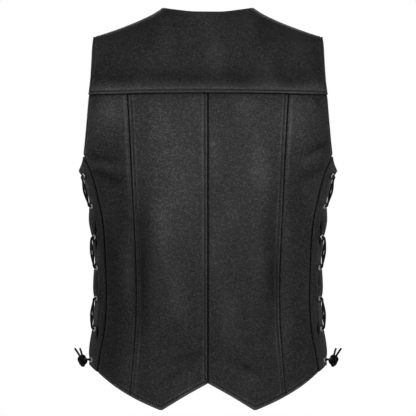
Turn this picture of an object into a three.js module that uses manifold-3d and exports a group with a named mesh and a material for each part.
// A man's black leather vest with laced sides, held in the hollow shape it takes when worn.
//
// The back has a yoke over four panels, and the fronts close with snaps. At each side a strip
// on the back and a strip on the front carry seven eyelets each, and one lace crosses between
// them and is knotted at the hem. Millimetres, +Z up, the fronts face -Y, the wearer's left is +X.
// The origin lies midway between the two points where the shoulder seams meet the neckline.
import * as THREE from "three";
import { mergeVertices } from "three/addons/utils/BufferGeometryUtils.js";
import Module from "manifold-3d";

const wasm = await Module();
wasm.setup();

// Leather and seams
const WALL = 2;
const SEAM_GAP = 0.3;
const WELT_HEIGHT = 0.8; // a topstitched seam edge stands this much above the other one
const YOKE_LIP = 1.1; // and the yoke's lower edge this much above the panels

// Heights, measured down from the neck points of the shoulder seams
const BLADE_Z = -170; // the back hangs straight from here down
const CHEST_Z = -190; // and the fronts from here
const UNDERARM_Z = -253; // where a lacing strip meets its armhole
const YOKE_Z = { centre: -145.2, side: -148 };
const NECK_HALF_WIDTH = 76.3;
const SHOULDER_TIP_X = 195.5;

// Side lacing
const EYELETS = 7;
const EYELET_TOP_Z = -285;
const EYELET_PITCH = 51.6;
const EYELET_IN = 8.5; // from a strip's outer edge to an eyelet's centre
const STRIP_CORNER_Z = -277;
const STRIP_HEM_Z = -605.5;
const SIDE_GAP = 48; // between the back strip and the front strip
const STRIP_HOLE_RADIUS = 3.2;
const LACE_RADIUS = 1.75;

// Front closing
const FRONT_OVERLAP = 14; // past the centre line, on each front
const LAP_GAP = 0.5; // between the two fronts there
const LAP_BLEND = 60; // the width over which a front comes level with the form again
const BREAK_Z = -235; // where the neckline turns into the front edge
const SNAPS = 4;
const SNAP_TOP_Z = -252;
const SNAP_PITCH = 96;

const FRONT_HEM_LIFT = 14; // the fronts' points are cut this much shorter than the back's
const HEM_LEVEL_X = 180; // and from here to the side the two hems are level

// The torso form, from the top down
const FORM_SECTIONS = [
  { z: 30, halfWidth: 238, backDepth: 112, frontDepth: 108 },
  { z: -145, halfWidth: 236, backDepth: 112, frontDepth: 112 },
  { z: -215, halfWidth: 231, backDepth: 112, frontDepth: 115 },
  { z: -277, halfWidth: 220.5, backDepth: 109, frontDepth: 114 },
  { z: -293, halfWidth: 215.2, backDepth: 107.6, frontDepth: 113 },
  { z: -333, halfWidth: 206.5, backDepth: 104, frontDepth: 110 },
  { z: -384, halfWidth: 202, backDepth: 100, frontDepth: 106 },
  { z: -442, halfWidth: 198, backDepth: 97, frontDepth: 103 },
  { z: -493, halfWidth: 198, backDepth: 97, frontDepth: 103 },
  { z: -546, halfWidth: 201, backDepth: 99, frontDepth: 104 },
  { z: -593, halfWidth: 205.5, backDepth: 102, frontDepth: 106 },
  { z: -690, halfWidth: 212, backDepth: 107, frontDepth: 110 },
];
const SECTION_POWER = 2.15; // a section is a little squarer than an ellipse
const SIDE_LIMIT = 0.995; // a strip stays within this share of the form's half width

const SHOULDER_RIDGE = [
  { x: 0, z: 25 },
  { x: 40, z: 17 },
  { x: NECK_HALF_WIDTH, z: 0 },
  { x: 92, z: -9.8 },
  { x: 110, z: -18.6 },
  { x: 130, z: -27.4 },
  { x: 161.5, z: -39.4 },
  { x: SHOULDER_TIP_X, z: -50.2 },
  { x: 240, z: -62 },
];
const NECK_BACK = [
  { x: 0, z: -6.6 },
  { x: 26, z: -6.2 },
  { x: 52, z: -3.4 },
  { x: NECK_HALF_WIDTH, z: 0 },
];
const NECK_FRONT = [
  { z: 20, x: 80 },
  { z: 0, x: NECK_HALF_WIDTH },
  { z: -45, x: 66 },
  { z: -95, x: 50 },
  { z: -145, x: 30 },
  { z: -190, x: 8 },
  { z: BREAK_Z, x: -FRONT_OVERLAP },
];
const ARMHOLE_BACK = [
  { z: -40, x: 194.5 },
  { z: -50.5, x: SHOULDER_TIP_X },
  { z: -65, x: 197 },
  { z: -92, x: 198.3 },
  { z: -120, x: 200 },
  { z: -147, x: 202.4 },
  { z: -174, x: 204.7 },
  { z: -201, x: 207 },
  { z: -228, x: 209.4 },
  { z: -242, x: 211 },
  { z: UNDERARM_Z, x: 212.5 },
  { z: -265, x: 214.9 },
  { z: STRIP_CORNER_Z, x: 220 },
];
const ARMHOLE_FRONT = [
  { z: -40, x: 198 },
  { z: -50.5, x: SHOULDER_TIP_X },
  { z: -85, x: 185 },
  { z: -125, x: 178 },
  { z: -165, x: 177 },
  { z: -205, x: 184 },
  { z: -235, x: 199 },
  { z: UNDERARM_Z, x: 210.5 },
  { z: -265, x: 214.9 },
  { z: STRIP_CORNER_Z, x: 220 },
];
// The seam between a back centre panel and a back side panel
const PANEL_SEAM = [
  { z: -145, x: 137 },
  { z: -207, x: 133.5 },
  { z: -258, x: 131 },
  { z: -326, x: 128.4 },
  { z: -386, x: 125.8 },
  { z: -445, x: 123.8 },
  { z: -496, x: 122.9 },
  { z: -547, x: 124 },
  { z: -598, x: 127.5 },
  { z: -660, x: 132.5 },
];
// The seam between a side or front panel and its lacing strip
const STRIP_SEAM = [
  { z: UNDERARM_Z, x: 210.5 },
  { z: -287, x: 196.8 },
  { z: -326, x: 187.3 },
  { z: -369, x: 179.8 },
  { z: -411, x: 176.3 },
  { z: -454, x: 174.2 },
  { z: -488, x: 172.8 },
  { z: -530, x: 174.5 },
  { z: -556, x: 177.3 },
  { z: -581, x: 182.3 },
  { z: -607, x: 186.5 },
  { z: -640, x: 190.5 },
];
// The hem: a notch at the centre back, a point on each side of it, and a rise to the strips
const HEM_POINT_X = 79.5;
const HEM_NOTCH_SIDE = [
  { x: 0, z: -636 },
  { x: 40, z: -658.3 },
  { x: HEM_POINT_X, z: -682.3 },
];
const HEM_RISE = [
  { x: HEM_POINT_X, z: -682.3 },
  { x: 96, z: -675.5 },
  { x: 120, z: -664.6 },
  { x: 144, z: -651.3 },
  { x: 168, z: -635 },
  { x: 184, z: -621.5 },
  { x: 202, z: -605 },
];
// How far a strip's edge stands out (+) or is drawn in (-) below each eyelet: a little way down,
// halfway to the next eyelet, and just above that one
const EDGE_SWINGS = [
  { under: -0.6, middle: -0.5, over: -1.2 },
  { under: 1.6, middle: 3.6, over: 1.6 },
  { under: 0, middle: -1, over: -1.6 },
  { under: 1, middle: 2.4, over: 1.9 },
  { under: -1, middle: -0.5, over: -0.6 },
  { under: 1.1, middle: 2.4, over: 1.8 },
];
const SWING_STEPS = [0, 0.15, 0.5, 0.85];
const CORNER_FLARE = 3.5; // at a strip's top corner, gone after the flare's length
const FLARE_LENGTH = 13;

// Soft troughs pressed into the leather: where, how wide and long, and how deep
const BACK_TROUGHS = [
  { x: 112, z: -430, width: 20, length: 120, depth: 4.5 },
  { x: -116, z: -445, width: 18, length: 130, depth: 4 },
  { x: 0, z: -300, width: 26, length: 150, depth: 3 },
  { x: 168, z: -330, width: 22, length: 90, depth: 2.5 },
  { x: -165, z: -345, width: 20, length: 95, depth: 2.5 },
  { x: 45, z: -610, width: 30, length: 60, depth: 2 },
];
const FRONT_TROUGHS = [
  { x: 104, z: -430, width: 24, length: 120, depth: 5 },
  { x: -108, z: -420, width: 22, length: 130, depth: 5 },
  { x: 150, z: -270, width: 30, length: 60, depth: 3.5 },
  { x: -146, z: -262, width: 30, length: 55, depth: 3.5 },
];

// A turned ring: a flange on the leather's face and a barrel through it. Radius, then height.
const EYELET_PROFILE = [
  [2.4, -2.4],
  [2.9, -2.4],
  [2.9, 0.5],
  [4.3, 0.5],
  [2.4, 1.3],
];
const EYELET_SIDES = 8;

// The lace runs straight through an eyelet between these heights and then bends to a side
const LACE_BEND = { radius: 2.1, above: 1.2, below: -2.5 };
const EDGE_CLEARANCE = 0.4; // between a crossing strand and the strip's edge that it rests on
const SLACK = 0.6; // how far an inside strand hangs away from the leather, halfway
// How far the upper strand's centre line stands out where two cross, by the eyelet above them
const CROSSING_PEAKS = { 0: 211, 2: 199, 4: 198.8 };
const CROSSING_STEP = 3.8; // from the upper strand down to the lower one

// The knot: a core with two turns of lace round it and a loop below
const KNOT = { x: 213.4, y: 0, z: -598.6, halfDepth: 7.3 };
const KNOT_ENTRY = { inward: 2.5, up: 0.5 }; // where the lace meets the knot, from its centre
const KNOT_CORE = { radius: 6.4, wide: 1.08, tall: 1.12 };
const KNOT_TURNS = [
  { along: -2.8, radius: 5.6, lean: 0.8 },
  { along: 2.3, radius: 6.4, lean: 0.35 },
];
const KNOT_LOOP = { radius: 3.4, drop: 7.4, lean: 0.6 };

// The two free ends, from the knot outwards; offsets from the knot's centre, out away from the body
const LACE_ENDS = {
  outer: [
    { out: 5.5, y: 4.4, up: 8.9 },
    { out: 6.8, y: 10.8, up: 11.3 },
    { out: 8.4, y: 18, up: 14 },
    { out: 10.2, y: 25.8, up: 17 },
    { out: 12, y: 33.8, up: 19.8 },
  ],
  inner: [
    { out: 0.6, y: -4.6, up: 7.6 },
    { out: 1.4, y: -11.4, up: 10.4 },
    { out: 2.4, y: -19, up: 13.6 },
    { out: 3.4, y: -26.8, up: 16.4 },
    { out: 4.4, y: -34.6, up: 18.8 },
  ],
};

// Snap caps stand on the upper front, and their studs' backs on the inside of the lower one
const SNAP_CAP = [
  [0, 0.3],
  [6.2, 0.3],
  [5.6, 1.7],
  [3.4, 2.6],
  [0, 2.8],
];
const SNAP_BACK = [
  [0, -0.3],
  [0, -1.4],
  [4.2, -1.4],
  [5, -0.3],
];
const SNAP_SIDES = 10;

// Grid counts
const YOKE_ROWS = 8;
const LIP_SHARE = 0.05; // the second row closes off the lip, this share of the way up
const UPPER_ROWS = 3;
const LOWER_ROWS = 14;
const SHOULDER_ROWS = 8;
const SIDE_COLUMNS = 5;
const STRIP_COLUMNS = 3;
const STRIP_SPREAD = 0.8; // under 1, a strip's columns stand closer together at its outer edge
const STRIP_TOP_ROWS = 4; // from the underarm down to the strip's corner
const FRONT_COLUMNS = 9;
// Column places across a back centre panel; the hem point lies at the sixth
const CENTRE_STEPS = [0, 0.06, 0.2, 0.4, 0.5, 0.6, 0.8, 0.94, 1];
// Where the yoke's columns above them meet the neckline, up to the neck point
const NECK_STEPS = [0, 11, 36, 58, 70, NECK_HALF_WIDTH];

const LEATHER = { color: 0x1b1b1c, roughness: 0.52, metalness: 0 };
const LACE = { color: 0x0c0c0d, roughness: 0.6, metalness: 0 };
const NICKEL = { color: 0xa89a92, roughness: 0.3, metalness: 1 };
const DARK_METAL = { color: 0x2a2a2c, roughness: 0.35, metalness: 1 };

const lerp = THREE.MathUtils.lerp;
const clamp = THREE.MathUtils.clamp;

// A smooth line through a table's rows, by cubic Hermite pieces; key falls or rises all the way.
function lineThrough(rows, key, column) {
  const at = rows.map((row) => row[key]);
  const value = rows.map((row) => row[column]);
  const last = rows.length - 1;
  const step = (i) => (value[i + 1] - value[i]) / (at[i + 1] - at[i]);
  const slope = rows.map((_, i) => {
    if (i === 0) return step(0);
    if (i === last) return step(last - 1);
    return (step(i - 1) + step(i)) / 2;
  });
  const rising = at[last] > at[0];
  return (where) => {
    const place = rising ? clamp(where, at[0], at[last]) : clamp(where, at[last], at[0]);
    let i = 0;
    while (i < last - 1 && (rising ? place > at[i + 1] : place < at[i + 1])) i += 1;
    const span = at[i + 1] - at[i];
    const t = (place - at[i]) / span;
    const t2 = t * t;
    const t3 = t2 * t;
    return (
      value[i] * (2 * t3 - 3 * t2 + 1) +
      slope[i] * span * (t3 - 2 * t2 + t) +
      value[i + 1] * (3 * t2 - 2 * t3) +
      slope[i + 1] * span * (t3 - t2)
    );
  };
}

const halfWidthAt = lineThrough(FORM_SECTIONS, "z", "halfWidth");
const backDepthAt = lineThrough(FORM_SECTIONS, "z", "backDepth");
const frontDepthAt = lineThrough(FORM_SECTIONS, "z", "frontDepth");
const ridgeAt = lineThrough(SHOULDER_RIDGE, "x", "z");
const neckBackAt = lineThrough(NECK_BACK, "x", "z");
const neckFrontAt = lineThrough(NECK_FRONT, "z", "x");
const armholeBackAt = lineThrough(ARMHOLE_BACK, "z", "x");
const armholeFrontAt = lineThrough(ARMHOLE_FRONT, "z", "x");
const panelSeamAt = lineThrough(PANEL_SEAM, "z", "x");
const stripSeamAt = lineThrough(STRIP_SEAM, "z", "x");
const hemNotchAt = lineThrough(HEM_NOTCH_SIDE, "x", "z");
const hemRiseAt = lineThrough(HEM_RISE, "x", "z");

const BACK = {
  sign: 1,
  fullZ: BLADE_Z,
  hemLift: 0,
  depthAt: backDepthAt,
  armholeAt: armholeBackAt,
  troughs: BACK_TROUGHS,
};
const FRONT = {
  sign: -1,
  fullZ: CHEST_Z,
  hemLift: FRONT_HEM_LIFT,
  depthAt: frontDepthAt,
  armholeAt: armholeFrontAt,
  troughs: FRONT_TROUGHS,
};

// How deep the form is at x and z before the shoulders round it off.
function sectionDepth(half, x, z) {
  const share = Math.abs(x) / halfWidthAt(z);
  return half.depthAt(z) * Math.max(1 - share ** SECTION_POWER, 1e-4) ** (1 / SECTION_POWER);
}

// 0 where the form hangs straight, 1 on the shoulder ridge.
function shoulderShare(half, x, z) {
  return clamp((z - half.fullZ) / (ridgeAt(Math.abs(x)) - half.fullZ), 0, 1);
}

// The turn over the shoulder, from 0 on the back or chest to a quarter turn on the ridge, at
// which a piece ends half a seam gap short of the ridge.
function seamTurn(half, x) {
  return Math.acos(SEAM_GAP / 2 / sectionDepth(half, x, ridgeAt(Math.abs(x))));
}

function formPoint(half, x, z) {
  const share = shoulderShare(half, x, z);
  const y = half.sign * sectionDepth(half, x, z) * Math.sqrt(Math.max(1 - share * share, 0));
  return new THREE.Vector3(x, y, z);
}

// The form's outward normal, from the slope of the function that is 1 on its surface.
function formNormal(half, point) {
  const level = (x, y, z) => {
    const ridge = ridgeAt(Math.abs(x));
    const share = Math.max((z - half.fullZ) / (ridge - half.fullZ), 0);
    return (y / sectionDepth(half, x, z)) ** 2 + share * share;
  };
  const near = 0.5;
  const { x, y, z } = point;
  return new THREE.Vector3(
    level(x + near, y, z) - level(x - near, y, z),
    level(x, y + near, z) - level(x, y - near, z),
    level(x, y, z + near) - level(x, y, z - near),
  ).normalize();
}

function troughDepth(half, x, z) {
  return half.troughs.reduce((sum, trough) => {
    const across = (x - trough.x) / trough.width;
    const along = (z - trough.z) / trough.length;
    return sum + trough.depth * Math.exp(-across * across - along * along);
  }, 0);
}

// A point of the leather's outer face, moved out by raise, and the point of its inner face.
function leatherPoint(half, x, z, raise = 0, swing = null) {
  const base = formPoint(half, x, z);
  const normal = formNormal(half, base);
  const outer = base.clone().addScaledVector(normal, raise - troughDepth(half, x, z));
  if (swing) outer.add(swing);
  return { outer, inner: outer.clone().addScaledVector(normal, -WALL - Math.max(raise, 0)), normal };
}

function hemZ(half, x) {
  const out = Math.abs(x);
  if (out <= HEM_POINT_X) return hemNotchAt(out) + half.hemLift;
  const lift = 1 - THREE.MathUtils.smoothstep(out, HEM_POINT_X, HEM_LEVEL_X);
  return hemRiseAt(out) + half.hemLift * lift;
}

// The height at which a slanted column, whose x changes with z, meets the hem.
function hemOnColumn(half, columnX) {
  let z = STRIP_HEM_Z;
  for (let i = 0; i < 12; i += 1) z = hemZ(half, columnX(z));
  return z;
}

// The heights of a panel's rows from the underarm down to the hem.
function lowerHeights(half, columnX) {
  const hem = hemOnColumn(half, columnX);
  return Array.from({ length: LOWER_ROWS + 1 }, (_, i) => lerp(UNDERARM_Z, hem, i / LOWER_ROWS));
}

// The closed wall between two faces given as rows of points.
function wallGeometry(rows) {
  const down = rows.length;
  const across = rows[0].length;
  const points = [];
  for (const side of ["outer", "inner"]) {
    for (const row of rows) points.push(...row.map((cell) => cell[side]));
  }
  const outer = (i, j) => i * across + j;
  const inner = (i, j) => down * across + outer(i, j);
  const faces = [];
  const quad = (a, b, c, d) => faces.push(a, b, c, a, c, d);
  for (let i = 0; i < down - 1; i += 1) {
    for (let j = 0; j < across - 1; j += 1) {
      quad(outer(i, j), outer(i + 1, j), outer(i + 1, j + 1), outer(i, j + 1));
      quad(inner(i, j), inner(i, j + 1), inner(i + 1, j + 1), inner(i + 1, j));
    }
  }
  for (let j = 0; j < across - 1; j += 1) {
    quad(outer(0, j), outer(0, j + 1), inner(0, j + 1), inner(0, j));
    quad(outer(down - 1, j + 1), outer(down - 1, j), inner(down - 1, j), inner(down - 1, j + 1));
  }
  for (let i = 0; i < down - 1; i += 1) {
    quad(outer(i + 1, 0), outer(i, 0), inner(i, 0), inner(i + 1, 0));
    quad(outer(i, across - 1), outer(i + 1, across - 1), inner(i + 1, across - 1), inner(i, across - 1));
  }
  return closedGeometry(points, faces);
}

// Gives the points and faces as a geometry that faces out.
function closedGeometry(points, faces) {
  const geometry = new THREE.BufferGeometry().setFromPoints(points);
  let volume = 0;
  for (let i = 0; i < faces.length; i += 3) {
    const [a, b, c] = [points[faces[i]], points[faces[i + 1]], points[faces[i + 2]]];
    volume += a.dot(new THREE.Vector3().crossVectors(b, c));
  }
  geometry.setIndex(volume > 0 ? faces : faces.slice().reverse());
  return geometry;
}

function toSolid(geometry) {
  const bare = geometry.clone();
  bare.deleteAttribute("normal");
  bare.deleteAttribute("uv");
  const merged = mergeVertices(bare, 1e-4);
  const vertProperties = new Float32Array(merged.attributes.position.array);
  const triVerts = new Uint32Array(merged.index.array);
  return new wasm.Manifold(new wasm.Mesh({ numProp: 3, vertProperties, triVerts }));
}

function fromSolid(solid) {
  const made = solid.getMesh();
  return new THREE.BufferGeometry()
    .setAttribute("position", new THREE.BufferAttribute(new Float32Array(made.vertProperties), 3))
    .setIndex(new THREE.BufferAttribute(new Uint32Array(made.triVerts), 1));
}

function piece(name, geometry, look) {
  const flat = geometry.index ? geometry.toNonIndexed() : geometry;
  flat.computeVertexNormals();
  const mesh = new THREE.Mesh(flat, new THREE.MeshStandardMaterial(look));
  mesh.name = name;
  return mesh;
}

// A share of the seam gap, taken off a panel's width at its two sides.
function inset(from, to, share) {
  const half = SEAM_GAP / 2;
  return lerp(from + half, to - half, share);
}

// The yoke: columns run from the seam below it to the neckline or the shoulder ridge.
function yoke() {
  const seamX = panelSeamAt(YOKE_Z.side);
  const centre = CENTRE_STEPS.map((share, i) => ({ low: share * seamX, high: topOfColumn(i, seamX) }));
  const side = [];
  for (let j = 1; j <= SIDE_COLUMNS; j += 1) {
    const share = j / SIDE_COLUMNS;
    side.push({
      low: lerp(seamX, armholeBackAt(YOKE_Z.side), share),
      high: lerp(seamX, SHOULDER_TIP_X, share),
    });
  }
  const right = [...centre, ...side];
  const columns = [...right.slice(1).reverse().map((c) => ({ low: -c.low, high: -c.high })), ...right];
  const rows = [];
  for (let i = 0; i <= YOKE_ROWS; i += 1) {
    const up = i === 1 ? LIP_SHARE : Math.max((i - 1) / (YOKE_ROWS - 1), 0);
    const raise = [YOKE_LIP, YOKE_LIP / 2][i] ?? 0;
    rows.push(columns.map((column) => yokePoint(column, up, raise)));
  }
  return piece("back_yoke", wallGeometry(rows), LEATHER);
}

// Where a centre column ends at the top: on the neckline, or past the neck point on the ridge.
function topOfColumn(i, seamX) {
  const neckColumn = NECK_STEPS.length - 1;
  if (i <= neckColumn) return NECK_STEPS[i];
  const from = CENTRE_STEPS[neckColumn];
  return lerp(NECK_HALF_WIDTH, seamX, (CENTRE_STEPS[i] - from) / (1 - from));
}

function yokeSeamZ(x) {
  return lerp(YOKE_Z.centre, YOKE_Z.side, (x / SHOULDER_TIP_X) ** 2);
}

function yokePoint(column, up, raise) {
  const turnAt = (x, z) => Math.asin(shoulderShare(BACK, x, z));
  const lowTurn = turnAt(column.low, yokeSeamZ(column.low) + SEAM_GAP / 2);
  const onNeck = Math.abs(column.high) < NECK_HALF_WIDTH - 1e-6;
  const neckTurn = () => turnAt(column.high, neckBackAt(Math.abs(column.high)));
  const highTurn = onNeck ? neckTurn() : seamTurn(BACK, column.high);
  const turn = lerp(lowTurn, highTurn, up);
  const lowShare = column.low / armholeBackAt(YOKE_Z.side);
  const highShare = column.high / SHOULDER_TIP_X;
  let x = lerp(column.low, column.high, up);
  let z = 0;
  for (let i = 0; i < 6; i += 1) {
    z = BLADE_Z + (ridgeAt(Math.abs(x)) - BLADE_Z) * Math.sin(turn);
    x = lerp(lowShare, highShare, up) * armholeBackAt(z);
  }
  return leatherPoint(BACK, x, z, raise);
}

// The heights of the rows that the back panels share, on a column whose x is columnX(z).
function backRowHeights(columnX) {
  const top = yokeSeamZ(columnX(YOKE_Z.centre)) - SEAM_GAP / 2;
  const heights = [];
  for (let i = 0; i < UPPER_ROWS; i += 1) heights.push(lerp(top, UNDERARM_Z, i / UPPER_ROWS));
  return [...heights, ...lowerHeights(BACK, columnX)];
}

function rowsFromColumns(columns) {
  return columns[0].map((_, i) => columns.map((column) => column[i]));
}

// wearer is 1 for the wearer's left and -1 for the right.
function backCentre(name, wearer) {
  const columns = CENTRE_STEPS.map((share) => {
    const columnX = (z) => inset(0, panelSeamAt(z), share);
    const onSeam = share === 1 || (share === 0 && wearer > 0);
    return backRowHeights(columnX).map((z) => {
      return leatherPoint(BACK, wearer * columnX(z), z, onSeam ? WELT_HEIGHT : 0);
    });
  });
  return piece(name, wallGeometry(rowsFromColumns(columns)), LEATHER);
}

// The outer edge of a side or front panel: the armhole, then the lacing strip's seam.
function outerEdgeAt(half, z) {
  return z > UNDERARM_Z ? half.armholeAt(z) : Math.min(stripSeamAt(z), half.armholeAt(z));
}

function backSide(name, wearer) {
  const columns = [];
  for (let j = 0; j <= SIDE_COLUMNS; j += 1) {
    const columnX = (z) => inset(panelSeamAt(z), outerEdgeAt(BACK, z), j / SIDE_COLUMNS);
    columns.push(backRowHeights(columnX).map((z) => leatherPoint(BACK, wearer * columnX(z), z)));
  }
  return piece(name, wallGeometry(rowsFromColumns(columns)), LEATHER);
}

// A front, from the shoulder ridge down to the hem.
function front(name, wearer) {
  const columns = [];
  const innerEdge = (z) => (z > BREAK_Z ? neckFrontAt(z) : -FRONT_OVERLAP);
  for (let j = 0; j <= FRONT_COLUMNS; j += 1) {
    const share = j / FRONT_COLUMNS;
    const columnX = (z) => lerp(innerEdge(z), outerEdgeAt(FRONT, z) - SEAM_GAP / 2, share);
    columns.push(frontHeights(columnX).map((z) => frontPoint(wearer, columnX(z), z)));
  }
  return piece(name, wallGeometry(rowsFromColumns(columns)), LEATHER);
}

// A front's leather; near the closing the wearer's left front lies over the right one.
function frontPoint(wearer, x, z) {
  const lap = 1 - THREE.MathUtils.smoothstep(x, FRONT_OVERLAP, FRONT_OVERLAP + LAP_BLEND);
  const raise = (wearer * lap * (WALL + LAP_GAP)) / 2;
  const cell = leatherPoint(FRONT, wearer * x, z, 0);
  const shift = cell.normal.clone().multiplyScalar(raise);
  cell.outer.add(shift);
  cell.inner.add(shift);
  return cell;
}

function frontHeights(columnX) {
  const heights = [];
  const top = seamTurn(FRONT, columnX(ridgeAt(NECK_HALF_WIDTH)));
  for (let i = 0; i < SHOULDER_ROWS; i += 1) {
    const turn = lerp(top, 0, i / SHOULDER_ROWS);
    let z = 0;
    for (let k = 0; k < 12; k += 1) {
      z = CHEST_Z + (ridgeAt(Math.abs(columnX(z))) - CHEST_Z) * Math.sin(turn);
    }
    heights.push(z);
  }
  heights.push(CHEST_Z, lerp(CHEST_Z, BREAK_Z, 0.5), BREAK_Z);
  return [...heights, ...lowerHeights(FRONT, columnX)];
}

// x at which the form stands a given distance from the side line, y = 0.
function xAtDepth(half, y, z) {
  const share = Math.min(y / half.depthAt(z), 1);
  return halfWidthAt(z) * (1 - share ** SECTION_POWER) ** (1 / SECTION_POWER);
}

function stripEdgeX(half, z) {
  const plain = xAtDepth(half, SIDE_GAP / 2, z);
  return z > STRIP_CORNER_Z ? Math.min(half.armholeAt(z), plain + CORNER_FLARE) : plain;
}

// How far a strip's edge stands out of the form at z, from the corner's flare and the swings.
function edgeSwing(z) {
  const flare = CORNER_FLARE * clamp(1 - (STRIP_CORNER_Z - z) / FLARE_LENGTH, 0, 1);
  const place = (EYELET_TOP_Z - z) / EYELET_PITCH;
  const between = Math.floor(place);
  const swings = EDGE_SWINGS[between];
  if (!swings) return z <= STRIP_CORNER_Z ? flare : 0;
  const heights = [0, swings.under, swings.middle, swings.over, 0];
  const rows = [...SWING_STEPS, 1].map((share, i) => ({ share, out: heights[i] }));
  return flare + lineThrough(rows, "share", "out")(place - between);
}

// A strip's seam, straight between the rows of the panel beside it.
function seamChordX(half, z) {
  const heights = lowerHeights(half, (at) => outerEdgeAt(half, at));
  const top = heights.findLastIndex((height, i) => height >= z && i < LOWER_ROWS);
  const share = (heights[top] - z) / (heights[top] - heights[top + 1]);
  return lerp(outerEdgeAt(half, heights[top]), outerEdgeAt(half, heights[top + 1]), share);
}

// A point of a lacing strip; across is 0 at its seam and 1 at its outer edge.
function stripPoint(half, wearer, z, across) {
  const hem = hemOnColumn(half, (at) => outerEdgeAt(half, at));
  const fall = (z - UNDERARM_Z) / (STRIP_HEM_Z - UNDERARM_Z);
  const seamZ = lerp(UNDERARM_Z, hem, fall);
  const here = lerp(seamZ, z, across);
  const x = lerp(seamChordX(half, seamZ) + SEAM_GAP, stripEdgeX(half, z), across ** STRIP_SPREAD);
  const swing = new THREE.Vector3(wearer * edgeSwing(z) * across * across, 0, 0);
  return leatherPoint(half, wearer * Math.min(x, halfWidthAt(here) * SIDE_LIMIT), here, 0, swing);
}

function stripHeights() {
  const heights = [];
  for (let i = 0; i <= STRIP_TOP_ROWS; i += 1) {
    heights.push(lerp(UNDERARM_Z - WALL, STRIP_CORNER_Z, i / STRIP_TOP_ROWS));
  }
  for (let i = 0; i < EYELETS - 1; i += 1) {
    for (const share of SWING_STEPS) heights.push(EYELET_TOP_Z - (i + share) * EYELET_PITCH);
  }
  return [...heights, EYELET_TOP_Z - (EYELETS - 1) * EYELET_PITCH, STRIP_HEM_Z];
}

// An eyelet's centre on the strip's outer face, with the outward normal there.
function eyeletSeat(half, wearer, index) {
  const z = EYELET_TOP_Z - index * EYELET_PITCH;
  const edge = stripPoint(half, wearer, z, 1).outer;
  let low = 0;
  let high = 1;
  for (let i = 0; i < 30; i += 1) {
    const middle = (low + high) / 2;
    if (stripPoint(half, wearer, z, middle).outer.distanceTo(edge) > EYELET_IN) low = middle;
    else high = middle;
  }
  const seat = stripPoint(half, wearer, z, high);
  return { half, wearer, centre: seat.outer, normal: seat.normal, across: high };
}

function lacingStrip(name, half, wearer) {
  const rows = stripHeights().map((z) => {
    const row = [];
    for (let j = 0; j <= STRIP_COLUMNS; j += 1) row.push(stripPoint(half, wearer, z, j / STRIP_COLUMNS));
    return row;
  });
  let solid = toSolid(wallGeometry(rows));
  for (let index = 0; index < EYELETS; index += 1) {
    const seat = eyeletSeat(half, wearer, index);
    const punch = new THREE.CylinderGeometry(STRIP_HOLE_RADIUS, STRIP_HOLE_RADIUS, 5 * WALL, 8);
    punch.applyMatrix4(seatMatrix(seat));
    solid = solid.subtract(toSolid(punch));
  }
  return piece(name, fromSolid(solid), LEATHER);
}

// Carries something made round +Y to a seat, with +Y along the seat's normal.
function seatMatrix(seat) {
  const turn = new THREE.Quaternion().setFromUnitVectors(new THREE.Vector3(0, 1, 0), seat.normal);
  return new THREE.Matrix4().compose(seat.centre, turn, new THREE.Vector3(1, 1, 1));
}

function seated(mesh, seat) {
  mesh.applyMatrix4(seatMatrix(seat));
  return mesh;
}

function turned(profile, sides) {
  const closed = [...profile, profile[0]].map(([radius, height]) => new THREE.Vector2(radius, height));
  const geometry = new THREE.LatheGeometry(closed, sides);
  if (toSolid(geometry).volume() < 0) geometry.setIndex([...geometry.index.array].reverse());
  return geometry;
}

function eyelet(name, half, wearer, index) {
  const ring = piece(name, turned(EYELET_PROFILE, EYELET_SIDES), NICKEL);
  return seated(ring, eyeletSeat(half, wearer, index));
}

// A tube whose rings stand at the route's own points, closer together where it bends.
class Route extends THREE.CatmullRomCurve3 {
  getPointAt(t, target) {
    return this.getPoint(t, target);
  }

  getTangentAt(t, target) {
    return this.getTangent(t, target);
  }

  getSpacedPoints(divisions) {
    return this.getPoints(divisions);
  }
}

function tube(points, radius, sides) {
  const section = new THREE.Shape();
  for (let i = 0; i < sides; i += 1) {
    const angle = (2 * Math.PI * i) / sides;
    const corner = [radius * Math.cos(angle), radius * Math.sin(angle)];
    if (i === 0) section.moveTo(...corner);
    else section.lineTo(...corner);
  }
  section.closePath();
  const extrudePath = new Route(points, false, "centripetal");
  return new THREE.ExtrudeGeometry(section, {
    steps: points.length - 1,
    bevelEnabled: false,
    curveSegments: 1,
    extrudePath,
  });
}

function off(seat, height) {
  return seat.centre.clone().addScaledVector(seat.normal, height);
}

// A quarter bend between an eyelet's axis and the way to a point, on the outside (1) or inside (-1).
function bend(seat, target, outward) {
  const { radius, above, below } = LACE_BEND;
  const way = target.clone().sub(seat.centre);
  way.addScaledVector(seat.normal, -way.dot(seat.normal)).normalize();
  const start = outward > 0 ? above : below;
  return [0, 0.5, 1].map((share) => {
    const angle = (share * Math.PI) / 2;
    const point = off(seat, start + outward * radius * Math.sin(angle));
    return point.addScaledVector(way, radius * (1 - Math.cos(angle)));
  });
}

// A strand over the side gap, from an eyelet to the next one down or up on the other strip.
function crossing(from, to, peak) {
  const rest = (near, far) => {
    const depth = Math.abs(near.centre.y);
    const share = (depth - SIDE_GAP / 2) / (2 * depth);
    const edge = stripPoint(near.half, near.wearer, lerp(near.centre.z, far.centre.z, share), 1);
    return edge.outer.addScaledVector(edge.normal, LACE_RADIUS + EDGE_CLEARANCE);
  };
  const first = rest(from, to);
  const last = rest(to, from);
  const middle = first.clone().lerp(last, 0.5);
  middle.x = from.wearer * peak;
  return [...bend(from, first, 1), first, middle, last, ...bend(to, last, 1).reverse()];
}

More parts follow.
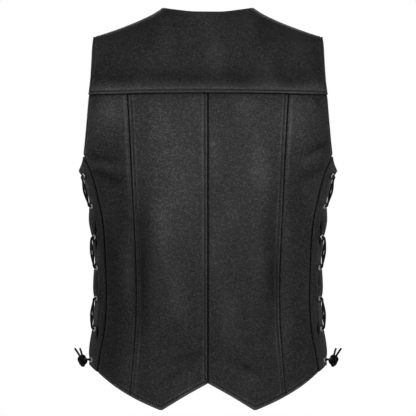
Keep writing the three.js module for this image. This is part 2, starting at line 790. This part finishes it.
// A strand on the inside, from an eyelet to the next one on the same strip.
function insideRun(from, to) {
  const z = (from.centre.z + to.centre.z) / 2;
  const under = stripPoint(from.half, from.wearer, z, (from.across + to.across) / 2);
  const middle = under.outer.addScaledVector(under.normal, LACE_BEND.below - LACE_BEND.radius - SLACK);
  return [...bend(from, middle, -1), middle, ...bend(to, middle, -1).reverse()];
}

// Half of a lace, from a strip's lowest eyelet to the top: inside to the next eyelet, over to the
// other strip, and so on. A strand that leaves the front strip passes under the other one.
function climb(start, other) {
  let [near, far] = [start, other];
  const points = [];
  for (let i = EYELETS - 1; i > 0; i -= 2) {
    const peak = CROSSING_PEAKS[i - 2] - (near[i].half === FRONT ? CROSSING_STEP : 0);
    points.push(...insideRun(near[i], near[i - 1]), ...crossing(near[i - 1], far[i - 2], peak));
    [near, far] = [far, near];
  }
  return points;
}

// One lace: up from the knot in both strips, and its halves meet in a bar inside the top eyelets.
function laceRoute(wearer) {
  const seats = (half) => Array.from({ length: EYELETS }, (_, i) => eyeletSeat(half, wearer, i));
  const back = seats(BACK);
  const fore = seats(FRONT);
  const toKnot = (seat) => {
    const side = seat.half.sign * (KNOT.halfDepth + SEAM_GAP);
    const end = new THREE.Vector3(wearer * (KNOT.x - KNOT_ENTRY.inward), side, KNOT.z + KNOT_ENTRY.up);
    return [...bend(seat, end, 1), end];
  };
  const bar = [off(fore[0], LACE_BEND.below), off(back[0], LACE_BEND.below)];
  const middle = bar[0].clone().lerp(bar[1], 0.5);
  middle.x -= wearer * LACE_BEND.radius;
  return [
    ...toKnot(back.at(-1)).reverse(),
    ...climb(back, fore),
    ...bend(fore[0], middle, -1),
    middle,
    ...bend(back[0], middle, -1).reverse(),
    ...climb(fore, back).reverse(),
    ...toKnot(fore.at(-1)),
  ];
}

function lace(name, wearer) {
  return piece(name, tube(laceRoute(wearer), LACE_RADIUS, 6), LACE);
}

function knot(name, wearer) {
  const core = new THREE.SphereGeometry(KNOT_CORE.radius, 8, 6);
  core.scale(KNOT_CORE.wide, 1, KNOT_CORE.tall);
  let solid = toSolid(core);
  for (const turn of KNOT_TURNS) {
    const ring = new THREE.TorusGeometry(turn.radius, LACE_RADIUS, 6, 10);
    ring.rotateY(Math.PI / 2 + wearer * turn.lean);
    ring.translate(wearer * turn.along, 0, turn.along / 2);
    solid = solid.add(toSolid(ring));
  }
  const loop = new THREE.TorusGeometry(KNOT_LOOP.radius, LACE_RADIUS, 6, 8);
  loop.rotateX(Math.PI / 2);
  loop.rotateY(wearer * KNOT_LOOP.lean);
  loop.translate(0, 0, -KNOT_LOOP.drop);
  solid = solid.add(toSolid(loop));
  const mesh = piece(name, fromSolid(solid), LACE);
  mesh.position.set(wearer * KNOT.x, KNOT.y, KNOT.z);
  return mesh;
}

function laceEnd(name, wearer, which) {
  const points = LACE_ENDS[which].map(
    ({ out, y, up }) => new THREE.Vector3(wearer * (KNOT.x + out), KNOT.y + y, KNOT.z + up),
  );
  return piece(name, tube(points, LACE_RADIUS, 8), LACE);
}

function snapSeat(index, wearer) {
  const z = SNAP_TOP_Z - index * SNAP_PITCH;
  const cell = frontPoint(wearer, 0, z);
  return { centre: wearer > 0 ? cell.outer : cell.inner, normal: cell.normal };
}

function snapPiece(name, index, wearer, profile) {
  return seated(piece(name, turned(profile, SNAP_SIDES), DARK_METAL), snapSeat(index, wearer));
}

function assembly(...members) {
  const group = new THREE.Group();
  group.add(...members);
  return group;
}

const SIDES = [
  { word: "left", wearer: 1 },
  { word: "right", wearer: -1 },
];

const vest = new THREE.Group();
vest.add(yoke());
for (const { word, wearer } of SIDES) {
  vest.add(
    assembly(
      backCentre(`back_centre_${word}`, wearer),
      backSide(`back_side_${word}`, wearer),
      lacingStrip(`strip_back_${word}`, BACK, wearer),
    ),
    assembly(front(`front_${word}`, wearer), lacingStrip(`strip_front_${word}`, FRONT, wearer)),
  );
  const lacing = assembly(lace(`lace_${word}`, wearer), knot(`knot_${word}`, wearer));
  for (const which of Object.keys(LACE_ENDS)) {
    lacing.add(laceEnd(`lace_end_${which}_${word}`, wearer, which));
  }
  for (let index = 0; index < EYELETS; index += 1) {
    lacing.add(eyelet(`eyelet_back_${word}_${index + 1}`, BACK, wearer, index));
    lacing.add(eyelet(`eyelet_front_${word}_${index + 1}`, FRONT, wearer, index));
  }
  vest.add(lacing);
}
const snaps = new THREE.Group();
for (let index = 0; index < SNAPS; index += 1) {
  snaps.add(snapPiece(`snap_cap_${index + 1}`, index, 1, SNAP_CAP));
  snaps.add(snapPiece(`snap_back_${index + 1}`, index, -1, SNAP_BACK));
}
vest.add(snaps);

export default vest;
